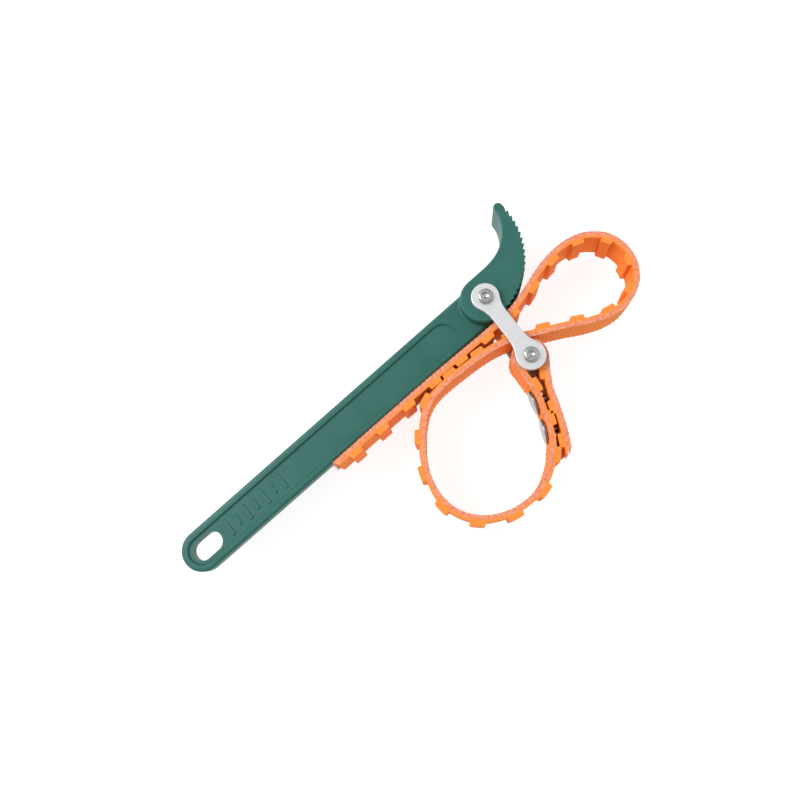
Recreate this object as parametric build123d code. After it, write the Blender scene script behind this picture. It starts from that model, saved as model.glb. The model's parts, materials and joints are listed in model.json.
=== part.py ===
from build123d import *
import math
import os

# Oil filter wrench, 225 mm, with a riveted toothed belt.  Millimetres, lying flat, +Z up, +X from the
# hang slot to the hook.  Every piece is drawn about the pivot axis with z = 0 at half thickness, and the
# whole tool is shifted at the end so that the origin lies under the middle of its box.

# Bar of the handle casting
OVERALL_LENGTH = 225.0          # end of the bar to the outside of the hook, along the bar
BAR_THICKNESS = 8.0
BAR_HEAD_HALF = 10.3            # half width beside the head, and its middle line above the pivot
BAR_HEAD_Y = 0.45
BAR_TAIL_HALF = 9.9             # half width at the hang slot, and its middle line above the pivot
BAR_TAIL_Y = 0.9
BAR_EDGE_ROUND = 1.6
PANEL_HALF_WIDTH = 6.2          # at its floor
PANEL_Y = 0.75
PANEL_DEPTH = 1.0
PANEL_HEAD_X = -26.4            # middle of the panel's round end beside the head
PANEL_FLOOR_ROUND = 0.3
PANEL_WALL_DRAFT = 35.0         # degrees from upright, so that the casting leaves its mould
HANG_SLOT_LENGTH = 15.6
HANG_SLOT_WIDTH = 9.6
HANG_SLOT_X = -174.0
SIZE_BAR_COUNT = 7              # plain raised bars beside the hang slot, every other one short
SIZE_BAR_X = -161.0
SIZE_BAR_PITCH = 5.4
SIZE_BAR_LONG = 8.4
SIZE_BAR_SHORT = 5.0
SIZE_BAR_WIDTH = 1.6
SIZE_BAR_HEIGHT = 0.45
SIZE_BAR_ROOT = 0.2             # how far each bar starts inside the panel floor

# Head of the casting: a round boss that runs into a hook with a serrated outer edge
HEAD_THICKNESS = 22.0
BOSS_RADIUS = 11.1
BOSS_X = -0.85
BOSS_Y = 0.28
HOOK_ARC_RADIUS = 38.75         # runs into the underside of the boss
HOOK_THROAT_START_X = 8.3       # the boss's upper tangent ends here
HOOK_THROAT = [(15.3, 11.9), (20.0, 13.2), (24.9, 16.0), (29.4, 20.4), (32.3, 25.4), (33.3, 29.9)]
HOOK_TIP_END_DEG = 2.3
HEAD_EDGE_ROUND = 0.7
BOSS_FOOT_ROUND = 0.8
SERRATION_PITCH = 3.1
SERRATION_DEPTH = 1.15
SERRATION_RUN_OUT = 0.3         # how far each cut starts outside the arc
SERRATION_FIRST_DEG = -88.0     # seen from the hook arc's centre
SERRATION_LAST_DEG = -4.2

# Link plates, pins and button-head screws
PIN_SPACING = 35.0
LINK_ANGLE_DEG = -95.7          # pivot to belt pin, from +X
PLATE_THICKNESS = 2.3
PLATE_PIVOT_RADIUS = 6.7
PLATE_BELT_RADIUS = 7.1
PLATE_WAIST = 7.8
PLATE_WAIST_BLEND = 16.0
PLATE_EDGE_ROUND = 0.35
PLATE_SIDE_GAP = 0.15           # between each plate and the head
PIN_RADIUS = 3.5
PIN_EDGE_CHAMFER = 0.3
PIVOT_BORE_GAP = 0.05           # running fit, on the radius
THREAD_RADIUS = 2.0             # M4
THREAD_FIT = 0.05
THREAD_DEPTH = 7.5
SCREW_GRIP = 6.0                # screw length inside the pin
SCREW_HEAD_RADIUS = 3.75
SCREW_HEAD_HEIGHT = 2.2
SCREW_HEAD_DOME = 1.5
SCREW_SOCKET = 3.0              # across flats
SCREW_SOCKET_DEPTH = 1.4
SCREW_DRILL_POINT = 0.5         # cone left by the drill at the socket's floor
SCREW_DRILL_TIP = 0.1

# Belt: one toothed strap, with its teeth always on the right of its path
BELT_WIDTH = 20.0
BELT_BASE = 3.2
CORD_OFFSET = 0.55              # the woven cords lie this far behind the middle of the base
TOOTH_PITCH = 16.29             # along the cords, which keep their length where the belt bends
TOOTH_HEIGHT = 1.9
TOOTH_ROOT = 7.0
TOOTH_TIP = 6.2
TOOTH_BITE = 0.7                # how far a tooth block starts inside the base
FIRST_TOOTH = 10.95             # from the free end of the belt to its first tooth
TOOTH_SEARCH_STEP = 0.25        # steps in which the cords are measured
EYE_RADIUS = 7.3                # middle of the base, round the belt pin
EYE_START_DEG = 188.0
EYE_END_DEG = 0.0
EYE_STEPS = 6
TAIL_RUN = [(-104.3, -11.7), (-75.4, -11.7), (-45.3, -11.9), (-25.2, -12.4), (-10.1, -12.8), (0.1, -12.8)]
SMALL_LOOP = [(8.2, -12.1), (18.4, -9.7), (28.6, -6.9), (38.7, -5.4), (47.9, -5.9), (54.6, -8.0),
              (59.6, -11.5), (63.7, -16.4), (65.6, -22.5), (65.3, -29.8), (62.0, -37.3), (56.0, -42.8),
              (47.7, -45.5)]
RETURN_RUN = [(39.0, -44.9), (29.3, -41.0), (18.8, -34.8), (8.6, -29.3), (-1.0, -24.1)]
LAY_RUN = [(-9.9, -20.7), (-19.7, -18.8), (-29.6, -17.9), (-39.4, -17.4)]
BIG_LOOP = [(-46.4, -17.6), (-53.5, -19.4), (-60.4, -23.7), (-67.0, -30.2), (-73.1, -38.3), (-77.3, -47.7),
            (-78.7, -56.6), (-77.1, -65.6), (-71.7, -74.0), (-62.9, -80.2), (-52.6, -83.1), (-42.1, -82.9),
            (-32.8, -79.1), (-25.3, -73.1), (-20.0, -65.4), (-16.0, -56.8), (-13.0, -48.7)]
FIXED_END = [(-3.0, -45.8), (-6.9, -51.6), (-9.7, -58.0), (-12.7, -64.4), (-16.2, -71.2), (-20.3, -77.9),
             (-21.6, -79.9)]
SMALL_LOOP_START = 116.4        # where the belt is divided, as distances from its free end
RETURN_START = 210.8
GRIP_LOOP_START = 264.5
BELT_DIVISION_GAP = 0.05
EDGE_STEP = 4.0                 # spacing of the points that carry the belt's two faces

# Rivets through both layers beside the eye
RIVET_RUNS = {"upper": 461.5, "lower": 447.0}  # distances of the rivets from the belt's free end
EYE_END_RUN = 505.0             # the riveted layer lies beyond this distance
RIVET_HEAD_RADIUS = 6.0
RIVET_HEAD_HEIGHT = 1.1
RIVET_HEAD_SINK = 0.2
RIVET_HEAD_ROUND = 0.35
RIVET_SHANK_RADIUS = 2.0
RIVET_BORE = 1.2                # radius of the post's hollow end
RIVET_BORE_SPARE = 0.5          # depth of the bore beyond the peg
RIVET_CAP_RADIUS = 4.5
RIVET_CAP_HEIGHT = 1.0
RIVET_CAP_SINK = 0.7
RIVET_PEG_RADIUS = 1.15
RIVET_PEG_LENGTH = 4.0
RIVET_CLEAR = 0.1
RIVET_SEARCH_STEP = 0.25        # steps in which the place of the second layer is found

LOW = (Align.CENTER, Align.CENTER, Align.MIN)   # stands on its place
HIGH = (Align.CENTER, Align.CENTER, Align.MAX)  # hangs below its place
HALF_BAR = BAR_THICKNESS / 2
HALF_HEAD = HEAD_THICKNESS / 2
HALF_BELT = BELT_WIDTH / 2
PLATE_INNER_Z = HALF_HEAD + PLATE_SIDE_GAP
PLATE_OUTER_Z = PLATE_INNER_Z + PLATE_THICKNESS
HOOK_ARC_Y = BOSS_Y - BOSS_RADIUS + HOOK_ARC_RADIUS
TAIL_END_X = BOSS_X + HOOK_ARC_RADIUS - OVERALL_LENGTH
PIN_X = PIN_SPACING * math.cos(math.radians(LINK_ANGLE_DEG))
PIN_Y = PIN_SPACING * math.sin(math.radians(LINK_ANGLE_DEG))


def both_ways(face, half):
    """A plane outline made solid, half above and half below the middle plane."""
    return extrude(face, half, both=True)


def slot_face(x0, x1, y, half):
    """A straight slot with round ends, centred at x0 and x1."""
    middle = Pos((x0 + x1) / 2, y) * Rectangle(x1 - x0, 2 * half)
    return middle + Pos(x0, y) * Circle(half) + Pos(x1, y) * Circle(half)


def bar_blank():
    """The tapered bar, round at the slot end, with both long edges rounded."""
    end_x = TAIL_END_X + BAR_TAIL_HALF
    sides = Polygon(
        (0, BAR_HEAD_Y + BAR_HEAD_HALF), (end_x, BAR_TAIL_Y + BAR_TAIL_HALF),
        (end_x, BAR_TAIL_Y - BAR_TAIL_HALF), (0, BAR_HEAD_Y - BAR_HEAD_HALF), align=None)
    outline = sides + Pos(end_x, BAR_TAIL_Y) * Circle(BAR_TAIL_HALF)
    blank = both_ways(outline, HALF_BAR)
    rims = [e for e in blank.edges() if abs(abs(e.center().Z) - HALF_BAR) < 0.01 and e.center().X < -1]
    return fillet(rims, BAR_EDGE_ROUND)


def panel_cut():
    """The long recess, the same on both faces."""
    outline = slot_face(TAIL_END_X + BAR_TAIL_HALF, PANEL_HEAD_X, PANEL_Y, PANEL_HALF_WIDTH)
    cuts = []
    for side in (1, -1):
        floor = side * (HALF_BAR - PANEL_DEPTH)
        cut = extrude(Pos(0, 0, floor) * outline, side * 2 * PANEL_DEPTH, taper=-PANEL_WALL_DRAFT)
        rim = [e for e in cut.edges() if abs(e.center().Z - floor) < 0.01]
        cuts.append(fillet(rim, PANEL_FLOOR_ROUND))
    return cuts


def size_bars():
    """Plain raised bars on the panel floors, long and short in turn."""
    bars = []
    for i in range(SIZE_BAR_COUNT):
        length = SIZE_BAR_SHORT if i % 2 else SIZE_BAR_LONG
        x = SIZE_BAR_X + i * SIZE_BAR_PITCH
        for side in (1, -1):
            z = side * (HALF_BAR - PANEL_DEPTH + (SIZE_BAR_HEIGHT - SIZE_BAR_ROOT) / 2)
            bars.append(Pos(x, PANEL_Y, z) * Box(SIZE_BAR_WIDTH, length, SIZE_BAR_HEIGHT + SIZE_BAR_ROOT))
    return bars


def on_hook_arc(degrees):
    """Point on the arc that carries the serrations."""
    turn = math.radians(degrees)
    return (BOSS_X + HOOK_ARC_RADIUS * math.cos(turn), HOOK_ARC_Y + HOOK_ARC_RADIUS * math.sin(turn))


def head_face():
    """Boss and hook in plan: throat curve, round tip, serrated arc and the boss's own round."""
    top = (BOSS_X, BOSS_Y + BOSS_RADIUS)
    bottom = (BOSS_X, BOSS_Y - BOSS_RADIUS)
    tip_end = on_hook_arc(HOOK_TIP_END_DEG)
    tip = TangentArc(tip_end, HOOK_THROAT[-1], tangent=(0, 1))
    throat = [(HOOK_THROAT_START_X, top[1])] + HOOK_THROAT
    edges = [
        Line(top, throat[0]),
        Spline(*throat, tangents=[(1, 0), -(tip % 1)]),
        tip,
        ThreePointArc(tip_end, on_hook_arc((HOOK_TIP_END_DEG - 90) / 2), bottom),
        ThreePointArc(bottom, (BOSS_X - BOSS_RADIUS, BOSS_Y), top),
    ]
    return make_face(edges)


def serrations():
    """Ratchet cuts across the hook's outer edge: each has a steep side that faces the tip."""
    step = math.degrees(SERRATION_PITCH / HOOK_ARC_RADIUS)
    count = int((SERRATION_LAST_DEG - SERRATION_FIRST_DEG) / step) + 1
    grooves = []
    for i in range(count):
        wedge = Polygon((SERRATION_RUN_OUT, 0), (-SERRATION_DEPTH, 0), (0, SERRATION_PITCH),
                        (SERRATION_RUN_OUT, SERRATION_PITCH), align=None)
        place = Pos(BOSS_X, HOOK_ARC_Y) * Rot(0, 0, SERRATION_LAST_DEG - i * step) * Pos(HOOK_ARC_RADIUS, 0)
        grooves.append(both_ways(place * wedge, HALF_HEAD + 1))
    return grooves


def handle():
    """One casting: bar, boss and hook, with the pivot bore and the hang slot."""
    head = both_ways(head_face(), HALF_HEAD)
    rims = [e for e in head.edges() if abs(abs(e.center().Z) - HALF_HEAD) < 0.01]
    head = fillet(rims, HEAD_EDGE_ROUND)
    body = bar_blank() + head
    feet = [
        e for e in body.edges()
        if abs(abs(e.center().Z) - HALF_BAR) < 0.01 and e.geom_type == GeomType.CIRCLE
        and abs(e.radius - BOSS_RADIUS) < 0.01
    ]
    body = fillet(feet, BOSS_FOOT_ROUND)
    for cut in panel_cut():
        body -= cut
    for bar in size_bars():
        body += bar
    half_run = (HANG_SLOT_LENGTH - HANG_SLOT_WIDTH) / 2
    slot = slot_face(HANG_SLOT_X - half_run, HANG_SLOT_X + half_run, PANEL_Y, HANG_SLOT_WIDTH / 2)
    body -= both_ways(slot, HALF_BAR)
    for groove in serrations():
        body -= groove
    body -= Cylinder(PIN_RADIUS + PIVOT_BORE_GAP, HEAD_THICKNESS + 2)
    return body


def link_plate(side):
    """Dog-bone plate, clamped on the pins' shoulders."""
    arm = Pos(0, -PIN_SPACING / 2) * Rectangle(PLATE_WAIST, PIN_SPACING)
    outline = arm + Circle(PLATE_PIVOT_RADIUS) + Pos(0, -PIN_SPACING) * Circle(PLATE_BELT_RADIUS)
    necks = [v for v in outline.vertices() if abs(abs(v.X) - PLATE_WAIST / 2) < 0.01]
    outline = fillet(necks, PLATE_WAIST_BLEND)
    hole = Circle(THREAD_RADIUS + 2 * THREAD_FIT)
    outline = outline - hole - Pos(0, -PIN_SPACING) * hole
    plate = extrude(outline, PLATE_THICKNESS)
    rims = [e for e in plate.edges() if e.length > 13.0 or e.geom_type == GeomType.LINE and e.length > 5.0]
    plate = fillet([e for e in rims if abs(e.center().Z - PLATE_THICKNESS) < 0.01], PLATE_EDGE_ROUND)
    plate = Rot(0, 0, LINK_ANGLE_DEG + 90) * plate
    if side < 0:
        plate = mirror(plate, Plane.XY)
    return Pos(0, 0, side * PLATE_INNER_Z) * plate


def pin(x, y):
    """Round pin between the plates, threaded at both ends."""
    body = Cylinder(PIN_RADIUS, 2 * PLATE_INNER_Z)
    body = chamfer(body.edges().filter_by(GeomType.CIRCLE), PIN_EDGE_CHAMFER)
    for side in (1, -1):
        z = side * (PLATE_INNER_Z - THREAD_DEPTH / 2)
        body -= Pos(0, 0, z) * Cylinder(THREAD_RADIUS, THREAD_DEPTH)
    return Pos(x, y) * body


def screw(x, y, side):
    """Button-head screw with a hexagon socket."""
    head = Cylinder(SCREW_HEAD_RADIUS, SCREW_HEAD_HEIGHT, align=LOW)
    crown = [e for e in head.edges().filter_by(GeomType.CIRCLE) if e.center().Z > SCREW_HEAD_HEIGHT / 2]
    head = fillet(crown, SCREW_HEAD_DOME)
    socket_radius = SCREW_SOCKET / math.sqrt(3)
    socket = extrude(RegularPolygon(socket_radius, 6), SCREW_SOCKET_DEPTH)
    drill_end = Cone(SCREW_DRILL_TIP, SCREW_SOCKET / 2, SCREW_DRILL_POINT, align=HIGH)
    head -= Pos(0, 0, SCREW_HEAD_HEIGHT - SCREW_SOCKET_DEPTH) * (socket + drill_end)
    length = PLATE_THICKNESS + SCREW_GRIP
    shank = Cylinder(THREAD_RADIUS - THREAD_FIT, length, align=HIGH)
    body = head + shank
    if side < 0:
        body = mirror(body, Plane.XY)
    return Pos(x, y, side * PLATE_OUTER_Z) * body


def belt_path():
    """Middle line of the belt's base, from its free end to its riveted end."""
    eye = []
    for i in range(EYE_STEPS + 1):
        turn = math.radians(EYE_START_DEG + (EYE_END_DEG - EYE_START_DEG) * i / EYE_STEPS)
        eye.append((PIN_X + EYE_RADIUS * math.cos(turn), PIN_Y + EYE_RADIUS * math.sin(turn)))
    points = TAIL_RUN + SMALL_LOOP + RETURN_RUN + LAY_RUN + BIG_LOOP + eye + FIXED_END
    return Spline(*points)


def on_path(path, run):
    """Place on the belt: its middle, its direction and the direction that its teeth point in."""
    middle = path.position_at(run, position_mode=PositionMode.LENGTH)
    along = path.tangent_at(run, position_mode=PositionMode.LENGTH)
    teeth = Vector(along.Y, -along.X)
    return middle, along, teeth


def tooth_runs(path):
    """Distances along the belt's middle line of its teeth, which are evenly pitched along the cords."""
    runs = []
    cord_length = 0.0
    last = None
    for step in range(int(path.length / TOOTH_SEARCH_STEP)):
        run = step * TOOTH_SEARCH_STEP
        middle, along, teeth = on_path(path, run)
        spot = middle - teeth * CORD_OFFSET
        if last is not None:
            cord_length += (spot - last).length
        last = spot
        if cord_length >= FIRST_TOOTH + len(runs) * TOOTH_PITCH:
            runs.append(run)
    return runs


def strap_face(path, start, end, runs):
    """Base of the belt between two places, with the teeth whose middles lie there."""
    steps = max(4, round((end - start) / EDGE_STEP))
    left = []
    right = []
    for i in range(steps + 1):
        middle, along, teeth = on_path(path, start + (end - start) * i / steps)
        left.append(middle - teeth * (BELT_BASE / 2))
        right.append(middle + teeth * (BELT_BASE / 2))
    sides = [Spline(*left), Line(left[-1], right[-1]), Spline(*reversed(right)), Line(right[0], left[0])]
    face = make_face(sides)
    for run in runs:
        if start + TOOTH_ROOT / 2 < run < end - TOOTH_ROOT / 2:
            face += tooth_face(path, run)
    return face


def tooth_face(path, run):
    """One tooth in plan, a little narrower at its tip."""
    middle, along, teeth = on_path(path, run)
    inner = BELT_BASE / 2 - TOOTH_BITE
    outer = BELT_BASE / 2 + TOOTH_HEIGHT
    corners = []
    for half, height in ((-TOOTH_ROOT / 2, inner), (-TOOTH_TIP / 2, outer), (TOOTH_TIP / 2, outer),
                         (TOOTH_ROOT / 2, inner)):
        corner = middle + along * half + teeth * height
        corners.append((corner.X, corner.Y))
    return Polygon(*corners, align=None)


def rivet_frames(path):
    """For each rivet: a plane on the loop's inner face, looking into it, and the grip through both layers."""
    frames = {}
    for name, rivet_run in RIVET_RUNS.items():
        middle, along, teeth = on_path(path, rivet_run)
        reach = []
        for step in range(int((path.length - EYE_END_RUN) / RIVET_SEARCH_STEP)):
            spot = on_path(path, EYE_END_RUN + step * RIVET_SEARCH_STEP)[0] - middle
            reach.append((abs(spot.dot(along)), spot.dot(teeth)))
        layer_gap = min(reach)[1]
        origin = middle - teeth * (BELT_BASE / 2)
        frames[name] = (Plane(origin=origin, x_dir=(0, 0, 1), z_dir=teeth), layer_gap + BELT_BASE)
    return frames


def rivet_post(frame, grip):
    """Flat head on the loop's inner face, with a hollow shank through both layers."""
    head = Cylinder(RIVET_HEAD_RADIUS, RIVET_HEAD_HEIGHT, align=LOW)
    rim = [e for e in head.edges().filter_by(GeomType.CIRCLE) if e.center().Z < RIVET_HEAD_HEIGHT / 2]
    head = Pos(0, 0, RIVET_HEAD_SINK - RIVET_HEAD_HEIGHT) * fillet(rim, RIVET_HEAD_ROUND)
    shank = Cylinder(RIVET_SHANK_RADIUS, grip - RIVET_CAP_SINK - RIVET_CLEAR, align=LOW)
    bore_floor = grip - RIVET_CAP_SINK - RIVET_PEG_LENGTH - RIVET_BORE_SPARE
    bore = Pos(0, 0, bore_floor) * Cylinder(RIVET_BORE, grip, align=LOW)
    return frame * (head + shank - bore)


def rivet_cap(frame, grip):
    """Round cap on the fixed end's outer face, with a peg pressed into the post."""
    under_side = Pos(0, 0, grip - RIVET_CAP_SINK)
    disc = Cylinder(RIVET_CAP_RADIUS, RIVET_CAP_HEIGHT, align=LOW)
    peg = Cylinder(RIVET_PEG_RADIUS, RIVET_PEG_LENGTH, align=HIGH)
    return frame * under_side * (disc + peg)


def rivet_room(frame, grip):
    """Space that a rivet takes in the belt: shank hole and both seats."""
    hole = Cylinder(RIVET_SHANK_RADIUS + RIVET_CLEAR, grip, align=LOW)
    seat_floor = Pos(0, 0, RIVET_HEAD_SINK + RIVET_CLEAR)
    seat = seat_floor * Cylinder(RIVET_HEAD_RADIUS + RIVET_CLEAR, BELT_BASE, align=HIGH)
    cap_floor = Pos(0, 0, grip - RIVET_CAP_SINK - RIVET_CLEAR)
    cap_seat = cap_floor * Cylinder(RIVET_CAP_RADIUS + RIVET_CLEAR, BELT_BASE, align=LOW)
    return frame * (hole + seat + cap_seat)


def belt_nodes(path):
    """The belt in four nodes, divided between the link plates and at the far side of the small loop."""
    cuts = [0.0, SMALL_LOOP_START, RETURN_START, GRIP_LOOP_START, path.length]
    names = ("belt_tail", "belt_small_loop", "belt_return", "belt_grip_loop")
    runs = tooth_runs(path)
    print("teeth at", [round(run, 1) for run in runs])
    frames = rivet_frames(path)
    nodes = {}
    for name, start, end in zip(names, cuts, cuts[1:]):
        first = start + BELT_DIVISION_GAP if start > 0 else start
        nodes[name] = both_ways(strap_face(path, first, end, runs), HALF_BELT)
    for name, (frame, grip) in frames.items():
        nodes["belt_grip_loop"] -= rivet_room(frame, grip)
        nodes["rivet_post_" + name] = rivet_post(frame, grip)
        nodes["rivet_cap_" + name] = rivet_cap(frame, grip)
    return nodes


def build():
    """All the nodes, about the pivot."""
    path = belt_path()
    print("belt length", round(path.length, 1))
    nodes = {"handle": handle(), "pivot_pin": pin(0, 0), "belt_pin": pin(PIN_X, PIN_Y)}
    for label, side in (("front", 1), ("back", -1)):
        nodes["link_plate_" + label] = link_plate(side)
        nodes["pivot_screw_" + label] = screw(0, 0, side)
        nodes["belt_pin_screw_" + label] = screw(PIN_X, PIN_Y, side)
    nodes.update(belt_nodes(path))
    return nodes


nodes = build()
low_corner = Vector(*(min(getattr(n.bounding_box().min, c) for n in nodes.values()) for c in "XYZ"))
high_corner = Vector(*(max(getattr(n.bounding_box().max, c) for n in nodes.values()) for c in "XYZ"))
shift = Pos(-(low_corner.X + high_corner.X) / 2, -(low_corner.Y + high_corner.Y) / 2, -low_corner.Z)
print("pivot axis at", [round(v, 3) for v in (shift.position.X, shift.position.Y, shift.position.Z)])
os.makedirs("parts", exist_ok=True)
for name, solid in nodes.items():
    export_step(shift * solid, "parts/" + name + ".step")
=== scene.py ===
import json
import math
import bpy
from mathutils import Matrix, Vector


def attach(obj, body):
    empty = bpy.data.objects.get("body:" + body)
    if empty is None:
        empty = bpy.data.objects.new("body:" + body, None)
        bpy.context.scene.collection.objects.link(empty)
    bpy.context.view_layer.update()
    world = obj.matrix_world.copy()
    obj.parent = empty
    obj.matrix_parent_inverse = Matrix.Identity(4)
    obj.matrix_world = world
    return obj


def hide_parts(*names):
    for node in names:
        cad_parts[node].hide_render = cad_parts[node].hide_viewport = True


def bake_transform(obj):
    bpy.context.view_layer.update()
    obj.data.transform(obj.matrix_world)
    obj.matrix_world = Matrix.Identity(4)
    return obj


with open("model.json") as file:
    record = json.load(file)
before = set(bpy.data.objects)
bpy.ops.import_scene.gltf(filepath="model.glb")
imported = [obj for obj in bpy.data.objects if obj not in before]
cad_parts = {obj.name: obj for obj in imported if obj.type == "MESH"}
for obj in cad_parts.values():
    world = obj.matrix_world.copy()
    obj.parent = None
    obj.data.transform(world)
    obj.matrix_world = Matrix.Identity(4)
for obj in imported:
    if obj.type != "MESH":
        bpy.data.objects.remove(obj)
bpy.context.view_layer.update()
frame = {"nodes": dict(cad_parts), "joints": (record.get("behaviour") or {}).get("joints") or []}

# ---------------------------------------------------------------------------------------------------
# Camera: it stands above the tool, a little towards the bar's end and the belt, and is turned so that
# the tool lies from corner to corner.
MM = 0.001                      # one millimetre in metres
SENSOR_WIDTH = 36.0             # mm
FOCAL_LENGTH = 38.43            # mm
CAMERA_PLACE = (-92.32, -81.66, 399.95)     # mm from the pivot
CAMERA_TURN = (10.741, 3.752, -41.622)      # degrees about X, Y and Z

pivot = Vector(next(j["pos_m"] for j in frame["joints"] if j["name"] == "link_swing"))
belt_pin = Vector(next(j["pos_m"] for j in frame["joints"] if j["name"] == "belt_swing"))
camera_data = bpy.data.cameras.new("camera")
camera_data.sensor_width = SENSOR_WIDTH
camera_data.lens = FOCAL_LENGTH
camera = bpy.data.objects.new("camera", camera_data)
bpy.context.scene.collection.objects.link(camera)
camera.location = pivot + Vector(CAMERA_PLACE) * MM
camera.rotation_euler = [math.radians(turn) for turn in CAMERA_TURN]
bpy.context.scene.camera = camera


# ---------------------------------------------------------------------------------------------------
# Studio: a large sheet of white paper in a bright room that darkens towards the horizon, with a key
# panel beyond the handle and a weak panel opposite. The paper glows, so the shadows stay faint.
PAPER_SIZE = 12.0               # m
PAPER_DROP = 0.2                # mm below the tool, so that the two never share a plane
PAPER_GREY = "#909090"
PAPER_GLOW = "#FFFFFF"
PAPER_GLOW_STRENGTH = 0.82
PANELS = [
    # name, place from the pivot in metres, size in metres, power in watts
    ("key_panel", (-0.45, 0.65, 0.8), 0.55, 10.0),
    ("fill_panel", (0.9, -0.3, 0.8), 0.9, 1.5),
]
ROOM_TONES = ((0.02, "#B4B4B6"), (0.55, "#FFFFFF"))     # height above the horizon and colour there
ROOM_LIGHT = 0.8


def linear(hex_colour):
    """An sRGB hex colour as linear red, green, blue and alpha."""
    values = []
    for start in (1, 3, 5):
        v = int(hex_colour[start:start + 2], 16) / 255
        values.append(v / 12.92 if v <= 0.04045 else ((v + 0.055) / 1.055) ** 2.4)
    return (*values, 1.0)


def add_node(tree, kind, settings=None, **links):
    """Adds a node. Settings are attributes or inputs; links name an input, or number it as in in0."""
    node = tree.nodes.new(kind)
    for key, value in (settings or {}).items():
        if isinstance(key, str) and hasattr(node, key):
            setattr(node, key, value)
        else:
            node.inputs[key].default_value = value
    for name, source in links.items():
        numbered = name.startswith("in") and name[2:].isdigit()
        target = node.inputs[int(name[2:]) if numbered else name]
        tree.links.new(source, target)
    return node


def new_material(name):
    """An empty material with its shader joined to the output."""
    material = bpy.data.materials.new(name)
    material.use_nodes = True
    tree = material.node_tree
    tree.nodes.clear()
    shader = tree.nodes.new("ShaderNodeBsdfPrincipled")
    output = tree.nodes.new("ShaderNodeOutputMaterial")
    tree.links.new(shader.outputs["BSDF"], output.inputs["Surface"])
    return material, tree, shader


bpy.ops.object.select_all(action="DESELECT")
bpy.ops.mesh.primitive_plane_add(size=PAPER_SIZE, location=(pivot.x, pivot.y, -PAPER_DROP * MM))
floor = bpy.context.object
floor.name = "studio_floor"
paper, tree, shader = new_material("matt_white_paper")
shader.inputs["Base Color"].default_value = linear(PAPER_GREY)
shader.inputs["Roughness"].default_value = 0.95
shader.inputs["Specular IOR Level"].default_value = 0.1
shader.inputs["Emission Color"].default_value = linear(PAPER_GLOW)
shader.inputs["Emission Strength"].default_value = PAPER_GLOW_STRENGTH
floor.data.materials.append(paper)

for name, place, size, power in PANELS:
    light_data = bpy.data.lights.new(name, "AREA")
    light_data.shape = "SQUARE"
    light_data.size = size
    light_data.energy = power
    light = bpy.data.objects.new(name, light_data)
    bpy.context.scene.collection.objects.link(light)
    light.location = pivot + Vector(place)
    light.rotation_euler = (-Vector(place)).to_track_quat("-Z", "Y").to_euler()

world = bpy.data.worlds.new("studio_room")
world.use_nodes = True
tree = world.node_tree
direction = add_node(tree, "ShaderNodeTexCoord")
height = add_node(tree, "ShaderNodeSeparateXYZ", Vector=direction.outputs["Generated"])
room = add_node(tree, "ShaderNodeValToRGB", Fac=height.outputs["Z"])
for stop, (position, colour) in zip(room.color_ramp.elements, ROOM_TONES):
    stop.position = position
    stop.color = linear(colour)
tree.links.new(room.outputs["Color"], tree.nodes["Background"].inputs["Color"])
tree.nodes["Background"].inputs["Strength"].default_value = ROOM_LIGHT
bpy.context.scene.world = world
# the plain display transform keeps the paint colours true
bpy.context.scene.view_settings.view_transform = "Standard"


# ---------------------------------------------------------------------------------------------------
# Handle: one steel casting, shot-blasted and powder coated in a satin sea green. The coat softens every
# edge, varies slowly in tone over the casting and carries a faint orange peel.
COAT_TONES = ((0.35, "#255B53"), (0.68, "#296159"))     # noise value and green there
COAT_ROUGHNESS = (0.36, 0.5)
CASTING_WAVE_SIZE = 14.0        # mm
ORANGE_PEEL_SIZE = 1.6          # mm
ORANGE_PEEL_DEPTH = 0.05        # mm


def powder_coat():
    """Satin powder coat over a casting: even colour, broad soft highlights and a fine orange peel."""
    material, tree, shader = new_material("powder_coated_casting")
    place = add_node(tree, "ShaderNodeTexCoord")
    broad = add_node(tree, "ShaderNodeTexNoise", {"Scale": 1 / (CASTING_WAVE_SIZE * MM), "Detail": 3.0},
                     Vector=place.outputs["Object"])
    tone = add_node(tree, "ShaderNodeValToRGB", Fac=broad.outputs["Fac"])
    for stop, (position, colour) in zip(tone.color_ramp.elements, COAT_TONES):
        stop.position = position
        stop.color = linear(colour)
    tree.links.new(tone.outputs["Color"], shader.inputs["Base Color"])
    peel = add_node(tree, "ShaderNodeTexNoise", {"Scale": 1 / (ORANGE_PEEL_SIZE * MM), "Detail": 2.0},
                    Vector=place.outputs["Object"])
    rough = add_node(tree, "ShaderNodeMapRange", {"To Min": COAT_ROUGHNESS[0], "To Max": COAT_ROUGHNESS[1]},
                     Value=peel.outputs["Fac"])
    tree.links.new(rough.outputs["Result"], shader.inputs["Roughness"])
    bump = add_node(tree, "ShaderNodeBump", {"Strength": 0.25, "Distance": ORANGE_PEEL_DEPTH * MM},
                    Height=peel.outputs["Fac"])
    tree.links.new(bump.outputs["Normal"], shader.inputs["Normal"])
    shader.inputs["Specular IOR Level"].default_value = 0.3
    return material


def dress(node, material):
    """Gives a CAD node its finish."""
    slots = frame["nodes"][node].data.materials
    slots.clear()
    slots.append(material)


dress("handle", powder_coat())


# ---------------------------------------------------------------------------------------------------
# Link plates: stamped mild steel, tumbled and satin nickel plated, clamped on the shoulders of the two
# pins. Rolling and tumbling leave fine scuffs that are longer one way.
PLATE_TONES = ((0.3, "#D5D6D8"), (0.7, "#DCDDDF"))      # noise value and nickel there
PLATE_ROUGHNESS = (0.34, 0.5)
SCUFF_SIZE = 2.2                # mm, drawn coarser than the real ones, which are too fine to show
SCUFF_STRETCH = (1.0, 3.0, 1.0)
SCUFF_ANGLE = 35                # degrees about Z
SCUFF_DEPTH = 0.02              # mm


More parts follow.
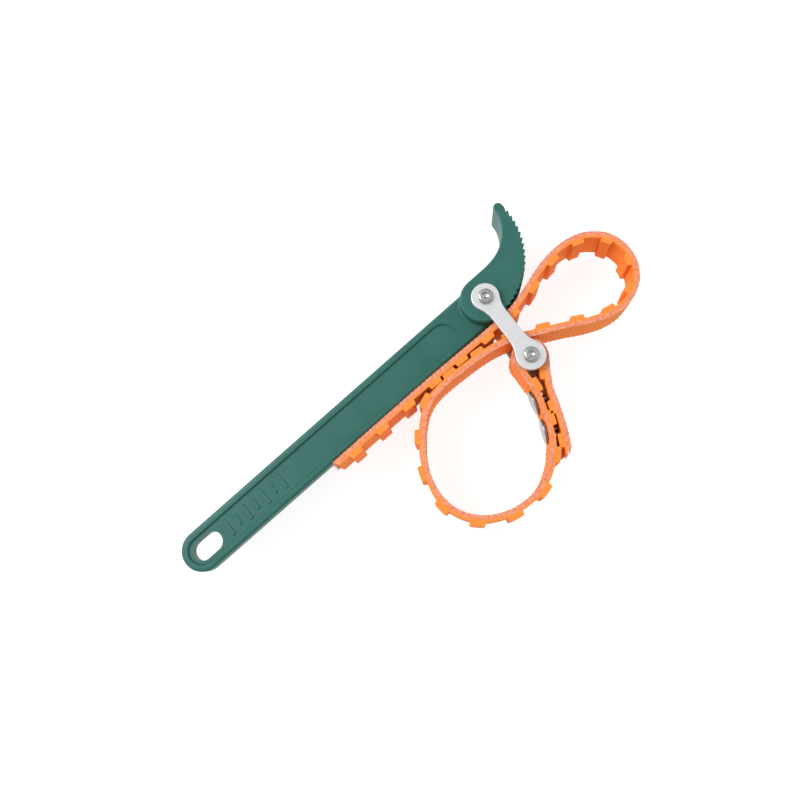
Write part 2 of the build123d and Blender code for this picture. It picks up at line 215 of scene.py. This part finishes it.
def satin_nickel():
    """Satin nickel on tumbled steel: a bright soft metal with faint scuffs."""
    material, tree, shader = new_material("satin_nickel_plated_steel")
    place = add_node(tree, "ShaderNodeTexCoord")
    stretch = add_node(tree, "ShaderNodeMapping",
                       {"Scale": SCUFF_STRETCH, "Rotation": (0, 0, math.radians(SCUFF_ANGLE))},
                       Vector=place.outputs["Object"])
    scuffs = add_node(tree, "ShaderNodeTexNoise", {"Scale": 1 / (SCUFF_SIZE * MM), "Detail": 5.0},
                      Vector=stretch.outputs["Vector"])
    tone = add_node(tree, "ShaderNodeValToRGB", Fac=scuffs.outputs["Fac"])
    for stop, (position, colour) in zip(tone.color_ramp.elements, PLATE_TONES):
        stop.position = position
        stop.color = linear(colour)
    tree.links.new(tone.outputs["Color"], shader.inputs["Base Color"])
    rough = add_node(tree, "ShaderNodeMapRange",
                     {"To Min": PLATE_ROUGHNESS[0], "To Max": PLATE_ROUGHNESS[1]},
                     Value=scuffs.outputs["Fac"])
    tree.links.new(rough.outputs["Result"], shader.inputs["Roughness"])
    bump = add_node(tree, "ShaderNodeBump", {"Strength": 0.05, "Distance": SCUFF_DEPTH * MM},
                    Height=scuffs.outputs["Fac"])
    tree.links.new(bump.outputs["Normal"], shader.inputs["Normal"])
    shader.inputs["Metallic"].default_value = 0.85
    return material


satin_plate = satin_nickel()
for node in ("link_plate_front", "link_plate_back"):
    dress(node, satin_plate)


# ---------------------------------------------------------------------------------------------------
# Pins and button-head screws: turned pins and cold-headed socket screws of steel, bright zinc plated.
# A screw is driven into each end of a pin and holds the plate there.
ZINC_TONES = ((0.3, "#98999B"), (0.62, "#B4B5B7"))      # noise value and zinc there
ZINC_ROUGHNESS = (0.28, 0.36)
HAZE_SIZE = 0.9                 # mm, drawn coarser than the real mottle, which is too fine to show


def bright_zinc():
    """Bright zinc on steel: a soft shine with a fine mottled haze."""
    material, tree, shader = new_material("bright_zinc_plated_steel")
    place = add_node(tree, "ShaderNodeTexCoord")
    haze = add_node(tree, "ShaderNodeTexNoise", {"Scale": 1 / (HAZE_SIZE * MM), "Detail": 4.0},
                    Vector=place.outputs["Object"])
    tone = add_node(tree, "ShaderNodeValToRGB", Fac=haze.outputs["Fac"])
    for stop, (position, colour) in zip(tone.color_ramp.elements, ZINC_TONES):
        stop.position = position
        stop.color = linear(colour)
    tree.links.new(tone.outputs["Color"], shader.inputs["Base Color"])
    rough = add_node(tree, "ShaderNodeMapRange", {"To Min": ZINC_ROUGHNESS[0], "To Max": ZINC_ROUGHNESS[1]},
                     Value=haze.outputs["Fac"])
    tree.links.new(rough.outputs["Result"], shader.inputs["Roughness"])
    shader.inputs["Metallic"].default_value = 1.0
    return material


zinc = bright_zinc()
for node in ("pivot_pin", "belt_pin", "pivot_screw_front", "pivot_screw_back", "belt_pin_screw_front",
             "belt_pin_screw_back"):
    dress(node, zinc)


# ---------------------------------------------------------------------------------------------------
# Rivets: pressed steel posts with broad flat heads and small round caps, polished and nickel plated.
# A cap is pressed into each post and clamps the two layers of the belt.
RIVET_NICKEL = "#97999B"
RIVET_ROUGHNESS = (0.2, 0.32)
PRESS_WAVE_SIZE = 3.0           # mm
PRESS_WAVE_DEPTH = 0.12         # mm


def polished_nickel():
    """Polished nickel: a soft mirror with slow waves where the head was pressed."""
    material, tree, shader = new_material("polished_nickel_plated_steel")
    place = add_node(tree, "ShaderNodeTexCoord")
    waves = add_node(tree, "ShaderNodeTexNoise", {"Scale": 1 / (PRESS_WAVE_SIZE * MM), "Detail": 2.0},
                     Vector=place.outputs["Object"])
    rough = add_node(tree, "ShaderNodeMapRange",
                     {"To Min": RIVET_ROUGHNESS[0], "To Max": RIVET_ROUGHNESS[1]},
                     Value=waves.outputs["Fac"])
    tree.links.new(rough.outputs["Result"], shader.inputs["Roughness"])
    bump = add_node(tree, "ShaderNodeBump", {"Strength": 0.3, "Distance": PRESS_WAVE_DEPTH * MM},
                    Height=waves.outputs["Fac"])
    tree.links.new(bump.outputs["Normal"], shader.inputs["Normal"])
    shader.inputs["Base Color"].default_value = linear(RIVET_NICKEL)
    shader.inputs["Metallic"].default_value = 1.0
    return material


nickel = polished_nickel()
for node in ("rivet_post_upper", "rivet_post_lower", "rivet_cap_upper", "rivet_cap_lower"):
    dress(node, nickel)


# ---------------------------------------------------------------------------------------------------
# Belt: one strap of orange polyurethane, moulded with square teeth onto a woven back and slit to width,
# so its edges show the cut weave. Its fixed end goes round the belt pin and is riveted to itself. One
# pitch is modelled flat, repeated, and bent along the belt's route. All sizes are in millimetres.
BELT_WIDTH = 20.0
BELT_BASE = 3.2
BASE_ROWS = 4                   # rows of faces through the base
TOOTH_PITCH = 16.29
TOOTH_HEIGHT = 2.0
TOOTH_ROOT = 7.0
TOOTH_TIP = 6.2
TOOTH_CORNER = 0.25
RIBS_PER_PITCH = 7
COLUMNS_PER_RIB = 4
RIB_HEIGHT = 0.2
RIB_DROPS = ((0, 1.0), (1, 0.5), (3, 0.5))      # the columns of a rib that lie lower, in rib heights
NEAR = 0.01                     # a point this near a plane counts as on it
PITCH_MERGE = 0.02              # pitches join where their points are this near
CORD_OFFSET = 0.55              # the cords that keep the belt's length lie behind the middle of its base
FIRST_TOOTH = 10.95             # from the free end to the middle of the first tooth
BELT_LENGTH = 553.6
SMALL_LOOP_END = 210.8          # where the belt is divided between the moving bodies
RETURN_END = 264.5
DIVISION_GAP = 0.05
RIVET_RUNS = (446.4, 460.6)     # the two rivets, along the cords
RIVET_SEATS = ((8.5, 0.25), (7.0, 0.3))         # how far each step of the seat reaches, and its depth
BACK_LAYER = 0.7                # what lies nearer than this to the tops of the ribs is the belt's back
CUT_SLANT_START = 0.5           # the ends are cut by hand, a little out of square
CUT_SLANT_END = 1.0
THREADS = 16                    # loose threads on each cut end
THREAD_LENGTH = 4.2
THREAD_ROOT_RADIUS = 0.34
THREAD_TIP_RADIUS = 0.1
THREAD_SIDES = 8
THREAD_MARGIN = 0.6             # from the slit edges to the outer threads
THREAD_TOP = 0.45               # the threads leave the end between this depth under the back
THREAD_LAYER = 1.3              # and this much deeper
THREAD_DROOP = 16               # degrees that the threads lean through the belt's thickness
THREAD_FAN = 14                 # degrees that they spread across it
GOLDEN_STEP = 0.618             # steps of this size spread the threads evenly through their layer
SMOOTH_ANGLE = 38               # degrees; sharper edges stay crisp
# the middle of the belt's base from its free end on, from the pivot
TAIL_RUN = [(-104.3, -11.7), (-75.4, -11.7), (-45.3, -11.9), (-25.2, -12.4), (-10.1, -12.8), (0.1, -12.8)]
SMALL_LOOP = [(8.2, -12.1), (18.4, -9.7), (28.6, -6.9), (38.7, -5.4), (47.9, -5.9), (54.6, -8.0),
              (59.6, -11.5), (63.7, -16.4), (65.6, -22.5), (65.3, -29.8), (62.0, -37.3), (56.0, -42.8),
              (47.7, -45.5)]
RETURN_RUN = [(39.0, -44.9), (29.3, -41.0), (18.8, -34.8), (8.6, -29.3), (-1.0, -24.1)]
LAY_RUN = [(-9.9, -20.7), (-19.7, -18.8), (-29.6, -17.9), (-39.4, -17.4)]
BIG_LOOP = [(-46.4, -17.6), (-53.5, -19.4), (-60.4, -23.7), (-67.0, -30.2), (-73.1, -38.3), (-77.3, -47.7),
            (-78.7, -56.6), (-77.1, -65.6), (-71.7, -74.0), (-62.9, -80.2), (-52.6, -83.1), (-42.1, -82.9),
            (-32.8, -79.1), (-25.3, -73.1), (-20.0, -65.4), (-16.0, -56.8), (-13.0, -48.7)]
EYE_RADIUS = 7.3                # round the belt pin
EYE_STEPS = 6
EYE_START = 188.0               # degrees; the eye ends at 0
FIXED_END = [(-3.0, -45.8), (-6.9, -51.6), (-9.7, -58.0), (-12.7, -64.4), (-16.2, -71.2), (-20.3, -77.9),
             (-21.6, -79.9)]


def belt_route():
    """A curve along the belt's cords: through the middle of its base, then moved back to the cords."""
    points = [pivot + Vector((x, y, 0)) * MM
              for x, y in TAIL_RUN + SMALL_LOOP + RETURN_RUN + LAY_RUN + BIG_LOOP]
    for i in range(EYE_STEPS + 1):
        turn = math.radians(EYE_START * (1 - i / EYE_STEPS))
        points.append(belt_pin + Vector((math.cos(turn), math.sin(turn), 0)) * EYE_RADIUS * MM)
    points += [pivot + Vector((x, y, 0)) * MM for x, y in FIXED_END]
    data = bpy.data.curves.new("belt_route", "CURVE")
    data.dimensions = "3D"
    data.resolution_u = 32
    spline = data.splines.new("BEZIER")
    spline.bezier_points.add(len(points) - 1)
    for knot, point in zip(spline.bezier_points, points):
        knot.co = point
        knot.handle_left_type = knot.handle_right_type = "AUTO"
    route = bpy.data.objects.new("belt_route", data)
    bpy.context.scene.collection.objects.link(route)
    bpy.context.view_layer.update()
    backs = []
    for knot in spline.bezier_points:
        along = (knot.handle_right - knot.handle_left).normalized()
        backs.append(Vector((-along.y, along.x, 0)) * CORD_OFFSET * MM)
    for knot, back in zip(spline.bezier_points, backs):
        knot.co = knot.co + back
    bpy.context.view_layer.update()
    return route


def faces_where(piece, test):
    """Selects a piece's faces by place in edit mode; test gets the face's middle."""
    bpy.ops.object.mode_set(mode="EDIT")
    bpy.ops.mesh.select_all(action="DESELECT")
    bpy.ops.object.mode_set(mode="OBJECT")
    for face in piece.data.polygons:
        face.select = test(face.center / MM)
    bpy.ops.object.mode_set(mode="EDIT")
    bpy.ops.mesh.select_mode(type="FACE")


def edges_where(piece, test):
    """Selects a piece's edges by place in edit mode; test gets the edge's two ends."""
    bpy.ops.object.mode_set(mode="EDIT")
    bpy.ops.mesh.select_mode(type="EDGE")
    bpy.ops.mesh.select_all(action="DESELECT")
    bpy.ops.object.mode_set(mode="OBJECT")
    places = [v.co / MM for v in piece.data.vertices]
    for edge in piece.data.edges:
        edge.select = test(places[edge.vertices[0]], places[edge.vertices[1]])
    bpy.ops.object.mode_set(mode="EDIT")


def verts_where(piece, test):
    """Selects a piece's vertices by place in edit mode; test gets the vertex's place."""
    bpy.ops.object.mode_set(mode="EDIT")
    bpy.ops.mesh.select_mode(type="VERT")
    bpy.ops.mesh.select_all(action="DESELECT")
    bpy.ops.object.mode_set(mode="OBJECT")
    for vertex in piece.data.vertices:
        vertex.select = test(vertex.co / MM)
    bpy.ops.object.mode_set(mode="EDIT")


def belt_pitch():
    """One pitch of the belt, flat: along X, teeth towards -Y, width along Z, the cords at y = 0."""
    columns = RIBS_PER_PITCH * COLUMNS_PER_RIB
    step = TOOTH_PITCH / columns
    centre = TOOTH_PITCH / 2
    middle = -CORD_OFFSET
    back_y = middle + BELT_BASE / 2
    front_y = middle - BELT_BASE / 2
    tip_y = front_y - TOOTH_HEIGHT
    half_root = round(TOOTH_ROOT / 2 / step) * step
    half_tip = half_root * TOOTH_TIP / TOOTH_ROOT
    bpy.ops.object.select_all(action="DESELECT")
    bpy.ops.mesh.primitive_grid_add(x_subdivisions=columns, y_subdivisions=BASE_ROWS, size=1)
    cell = bpy.context.object
    cell.name = "belt_pitch"
    cell.scale = (TOOTH_PITCH * MM, BELT_BASE * MM, 1)
    cell.location = (centre * MM, middle * MM, 0)
    bpy.ops.object.transform_apply(location=True, rotation=False, scale=True)
    # the woven back is ribbed across the belt
    for column, drop in RIB_DROPS:
        verts_where(cell, lambda p: p.y > back_y - NEAR and round(p.x / step) % COLUMNS_PER_RIB == column)
        bpy.ops.transform.translate(value=(0, -drop * RIB_HEIGHT * MM, 0))
    # the tooth stands on the other side, a little narrower at its tip
    edges_where(cell, lambda a, b: max(a.y, b.y) < front_y + NEAR
                and abs((a.x + b.x) / 2 - centre) < half_root)
    bpy.ops.mesh.extrude_region_move(TRANSFORM_OT_translate={"value": (0, -TOOTH_HEIGHT * MM, 0)})
    bpy.ops.transform.resize(value=(TOOTH_TIP / TOOTH_ROOT, 1, 1),
                             center_override=(centre * MM, tip_y * MM, 0))
    # the flat shape is given its width
    bpy.ops.mesh.select_all(action="SELECT")
    bpy.ops.transform.translate(value=(0, 0, -BELT_WIDTH / 2 * MM))
    bpy.ops.mesh.extrude_region_move(TRANSFORM_OT_translate={"value": (0, 0, BELT_WIDTH * MM)})

    # tip corners are rounded by the mould
    def at_tip(p):
        return p.y < tip_y + NEAR and abs(abs(p.x - centre) - half_tip) < NEAR

    edges_where(cell, lambda a, b: at_tip(a) and at_tip(b) and abs(a.z - b.z) > BELT_WIDTH / 2)
    bpy.ops.mesh.bevel(offset=TOOTH_CORNER * MM, segments=2)
    # the ends are left open, so that the pitches join
    faces_where(cell, lambda p: p.x < NEAR or p.x > TOOTH_PITCH - NEAR)
    bpy.ops.mesh.delete(type="FACE")
    bpy.ops.mesh.select_all(action="SELECT")
    bpy.ops.mesh.normals_make_consistent(inside=False)
    bpy.ops.object.mode_set(mode="OBJECT")
    return cell


def apply_all(piece):
    """Applies a piece's modifiers in order."""
    bpy.ops.object.select_all(action="DESELECT")
    piece.select_set(True)
    bpy.context.view_layer.objects.active = piece
    for modifier in list(piece.modifiers):
        bpy.ops.object.modifier_apply(modifier=modifier.name)


def flat_belt():
    """The whole belt, flat. It starts before the free end, so that the first tooth is in its place."""
    belt = belt_pitch()
    repeat = belt.modifiers.new("pitches", "ARRAY")
    repeat.count = math.ceil(BELT_LENGTH / TOOTH_PITCH) + 2
    repeat.use_relative_offset = False
    repeat.use_constant_offset = True
    repeat.constant_offset_displace = (TOOTH_PITCH * MM, 0, 0)
    repeat.use_merge_vertices = True
    repeat.merge_threshold = PITCH_MERGE * MM
    apply_all(belt)
    first_pitch = FIRST_TOOTH - TOOTH_PITCH / 2
    belt.location.x = (first_pitch - TOOTH_PITCH) * MM
    bpy.ops.object.transform_apply(location=True, rotation=False, scale=False)
    belt.name = "flat_belt"
    return belt


def press_for_rivets(belt):
    """The two rivet heads press the woven back flat, in two steps."""
    back = BELT_BASE / 2 - CORD_OFFSET
    for reach, depth in RIVET_SEATS:
        low = RIVET_RUNS[0] - reach
        high = RIVET_RUNS[1] + reach
        verts_where(belt, lambda p: p.y > back - BACK_LAYER and low < p.x < high)
        bpy.ops.transform.translate(value=(0, -depth * MM, 0))
        bpy.ops.object.mode_set(mode="OBJECT")


def frayed_threads(place, turn, slant):
    """Loose thread ends that stick out of a cut end of the flat belt, as thin cones."""
    threads = []
    # no two threads are alike: sines of the count vary their length and lean
    for i in range(THREADS):
        across = (i / (THREADS - 1) - 0.5) * (BELT_WIDTH - 2 * THREAD_MARGIN)
        height = BELT_BASE / 2 - CORD_OFFSET - THREAD_TOP - THREAD_LAYER * (i * GOLDEN_STEP % 1)
        length = THREAD_LENGTH * (0.6 + 0.4 * math.sin(i * 2.4))
        droop = math.radians(turn + THREAD_DROOP * math.sin(i * 5.1))
        fan = math.radians(THREAD_FAN * math.cos(i * 3.7))
        bpy.ops.object.select_all(action="DESELECT")
        bpy.ops.mesh.primitive_cone_add(
            vertices=THREAD_SIDES, radius1=THREAD_ROOT_RADIUS * MM, radius2=THREAD_TIP_RADIUS * MM,
            depth=length * MM, location=((place - slant * height) * MM, height * MM, across * MM),
            rotation=(0, droop, fan))
        bpy.ops.object.transform_apply(location=True, rotation=True, scale=True)
        threads.append(bpy.context.object)
    return threads


def belt_stretch(name, whole, route, start, end):
    """A stretch of the belt, cut from the flat strap and bent along the route."""
    free_cut = start == 0
    riveted_cut = end == BELT_LENGTH
    start_slant = CUT_SLANT_START if free_cut else 0
    end_slant = CUT_SLANT_END if riveted_cut else 0
    if not free_cut:
        start += DIVISION_GAP
    piece = whole.copy()
    piece.data = whole.data.copy()
    piece.name = name
    piece.data.name = name
    bpy.context.scene.collection.objects.link(piece)
    bpy.ops.object.select_all(action="DESELECT")
    piece.select_set(True)
    bpy.context.view_layer.objects.active = piece
    bpy.ops.object.mode_set(mode="EDIT")
    for place, slant, at_start in ((start, start_slant, True), (end, end_slant, False)):
        bpy.ops.mesh.select_all(action="SELECT")
        bpy.ops.mesh.bisect(plane_co=(place * MM, 0, 0), plane_no=(1, slant, 0), use_fill=True,
                            clear_inner=at_start, clear_outer=not at_start)
    bpy.ops.object.mode_set(mode="OBJECT")
    threads = []
    if free_cut:
        threads += frayed_threads(start, -90, start_slant)
    if riveted_cut:
        threads += frayed_threads(end, 90, end_slant)
    bpy.ops.object.select_all(action="DESELECT")
    for thread in threads:
        thread.select_set(True)
    piece.select_set(True)
    bpy.context.view_layer.objects.active = piece
    if threads:
        bpy.ops.object.join()
    bpy.ops.object.mode_set(mode="EDIT")
    bpy.ops.mesh.select_all(action="SELECT")
    bpy.ops.mesh.normals_make_consistent(inside=False)
    bpy.ops.object.mode_set(mode="OBJECT")
    # the flat places stay with the strap, so that its pattern follows every bend
    flat = piece.data.attributes.new("belt_place", "FLOAT_VECTOR", "POINT")
    for i, vertex in enumerate(piece.data.vertices):
        flat.data[i].vector = vertex.co
    bend = piece.modifiers.new("route", "CURVE")
    bend.object = route
    bend.deform_axis = "POS_X"
    apply_all(piece)
    bpy.ops.object.shade_smooth_by_angle(angle=math.radians(SMOOTH_ANGLE))
    return piece


WALL_ORANGE_AND_SHADE = "#F0852C"         # the moulded faces, and their slow deeper patches; the belt stands on edge, so these are its upright walls, and their deeper orange is partly painted shade and bounce light
WALL_ORANGE_DEEP_AND_SHADE = "#E67A24"
WALL_WAVE_SIZE = 9.0
CUT_ORANGE = "#EE883C"          # the slit edges
WEAVE_TONES = ((0.3, "#B86C5A"), (0.5, "#DC8B6E"), (0.7, "#E39E80"))    # noise value and thread there
WEAVE_MOTTLE = 1.7              # patches of lighter and darker threads
WEAVE_THREAD = 0.9              # between threads
WEAVE_BUMP = 0.25               # how far the cut threads stand out
WEAVE_DEPTH = 2.2               # of the base that is cords and weave, from the back
WEAVE_COVER = 0.92              # share of the weave's colour in its layer
SLIT_DEPTH = (0.35, 0.05)       # the edge's look fades in between these depths under it
END_DEPTH = 0.9                 # and the cut ends' look stops at this depth
RAGGED = 0.7                    # how far the line between weave and orange wanders each way
RAGGED_BLUR = 0.15
BELT_ROUGHNESS = (0.55, 0.85)   # of the orange and of the weave
LIGHT_DEPTHS = (1.0, 0.35, 0.12)    # how far red, green and blue light goes in


def belt_material():
    """Moulded orange polyurethane; the outer part of its cut edges and ends shows salmon-coloured weave."""
    material, tree, shader = new_material("moulded_polyurethane_on_weave")
    flat = add_node(tree, "ShaderNodeAttribute", {"attribute_name": "belt_place"})
    split = add_node(tree, "ShaderNodeSeparateXYZ", Vector=flat.outputs["Vector"])
    # the weave: cut thread ends stand out, and their colour is mottled
    threads = add_node(tree, "ShaderNodeTexVoronoi", {"Scale": 1 / (WEAVE_THREAD * MM), "Randomness": 0.55},
                       Vector=flat.outputs["Vector"])
    mottle = add_node(tree, "ShaderNodeTexNoise",
                      {"Scale": 1 / (WEAVE_MOTTLE * MM), "Detail": 4.0, "Roughness": 0.65},
                      Vector=flat.outputs["Vector"])
    weave = add_node(tree, "ShaderNodeValToRGB", Fac=mottle.outputs["Fac"])
    weave.color_ramp.elements.new(1.0)
    for stop, (position, colour) in zip(weave.color_ramp.elements, WEAVE_TONES):
        stop.position = position
        stop.color = linear(colour)
    # moulded faces are a clear deep orange with a slow change of tone, deepened partly by painted shade on
    # these upright walls; slit edges are paler
    slow = add_node(tree, "ShaderNodeTexNoise", {"Scale": 1 / (WALL_WAVE_SIZE * MM), "Detail": 2.0},
                    Vector=flat.outputs["Vector"])
    # painted shade: the upright walls get a deeper orange than the level slit edges
    shaded_wall = add_node(tree, "ShaderNodeMix",
                    {"data_type": "RGBA", 6: linear(WALL_ORANGE_DEEP_AND_SHADE), 7: linear(WALL_ORANGE_AND_SHADE)},
                    in0=slow.outputs["Fac"])
    across = add_node(tree, "ShaderNodeMath", {"operation": "ABSOLUTE"}, in0=split.outputs["Z"])
    slit = add_node(tree, "ShaderNodeMapRange",
                    {"From Min": (BELT_WIDTH / 2 - SLIT_DEPTH[0]) * MM,
                     "From Max": (BELT_WIDTH / 2 - SLIT_DEPTH[1]) * MM},
                    Value=across.outputs["Value"])
    orange = add_node(tree, "ShaderNodeMix", {"data_type": "RGBA", 7: linear(CUT_ORANGE)},
                      in0=slit.outputs["Result"], in6=shaded_wall.outputs[2])
    at_free_end = add_node(tree, "ShaderNodeMath", {"operation": "LESS_THAN", 1: END_DEPTH * MM},
                           in0=split.outputs["X"])
    at_riveted_end = add_node(tree, "ShaderNodeMath",
                              {"operation": "GREATER_THAN", 1: (BELT_LENGTH - END_DEPTH) * MM},
                              in0=split.outputs["X"])
    ends = add_node(tree, "ShaderNodeMath", {"operation": "MAXIMUM"}, in0=at_free_end.outputs["Value"],
                    in1=at_riveted_end.outputs["Value"])
    cut = add_node(tree, "ShaderNodeMath", {"operation": "MAXIMUM"}, in0=slit.outputs["Result"],
                   in1=ends.outputs["Value"])
    # a ragged line parts the two, about two thirds of the way through the base
    line = BELT_BASE / 2 - CORD_OFFSET - WEAVE_DEPTH
    ragged = add_node(tree, "ShaderNodeMath",
                      {"operation": "MULTIPLY_ADD", 1: 2 * RAGGED * MM, 2: -RAGGED * MM},
                      in0=mottle.outputs["Fac"])
    lifted = add_node(tree, "ShaderNodeMath", {"operation": "ADD"}, in0=split.outputs["Y"],
                      in1=ragged.outputs["Value"])
    above = add_node(tree, "ShaderNodeMapRange",
                     {"From Min": (line - RAGGED_BLUR) * MM, "From Max": (line + RAGGED_BLUR) * MM,
                      "To Max": WEAVE_COVER},
                     Value=lifted.outputs["Value"])
    share = add_node(tree, "ShaderNodeMath", {"operation": "MULTIPLY"}, in0=above.outputs["Result"],
                     in1=cut.outputs["Value"])
    colour = add_node(tree, "ShaderNodeMix", {"data_type": "RGBA"}, in0=share.outputs["Value"],
                      in6=orange.outputs[2], in7=weave.outputs["Color"])
    tree.links.new(colour.outputs[2], shader.inputs["Base Color"])
    rough = add_node(tree, "ShaderNodeMapRange", {"To Min": BELT_ROUGHNESS[0], "To Max": BELT_ROUGHNESS[1]},
                     Value=share.outputs["Value"])
    tree.links.new(rough.outputs["Result"], shader.inputs["Roughness"])
    height = add_node(tree, "ShaderNodeMath", {"operation": "MULTIPLY"}, in0=threads.outputs["Distance"],
                      in1=share.outputs["Value"])
    bump = add_node(tree, "ShaderNodeBump", {"Strength": 0.6, "Distance": WEAVE_BUMP * MM},
                    Height=height.outputs["Value"])
    tree.links.new(bump.outputs["Normal"], shader.inputs["Normal"])
    shader.inputs["Specular IOR Level"].default_value = 0.06
    shader.inputs["Subsurface Weight"].default_value = 0.05
    shader.inputs["Subsurface Radius"].default_value = [depth * MM for depth in LIGHT_DEPTHS]
    shader.inputs["Subsurface Scale"].default_value = 1.0
    return material


route = belt_route()
whole_belt = flat_belt()
press_for_rivets(whole_belt)
polyurethane = belt_material()
free_end = belt_stretch("belt_free_end", whole_belt, route, 0.0, SMALL_LOOP_END)
returning = belt_stretch("belt_return_bend", whole_belt, route, SMALL_LOOP_END, RETURN_END)
grip_loop = belt_stretch("belt_grip_strap", whole_belt, route, RETURN_END, BELT_LENGTH)
for piece in (free_end, returning, grip_loop):
    piece.data.materials.append(polyurethane)
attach(free_end, "handle")
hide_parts("belt_tail", "belt_small_loop")
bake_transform(returning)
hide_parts("belt_return")
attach(grip_loop, "belt")
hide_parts("belt_grip_loop")
for spare in (whole_belt, route):
    bpy.data.objects.remove(spare)
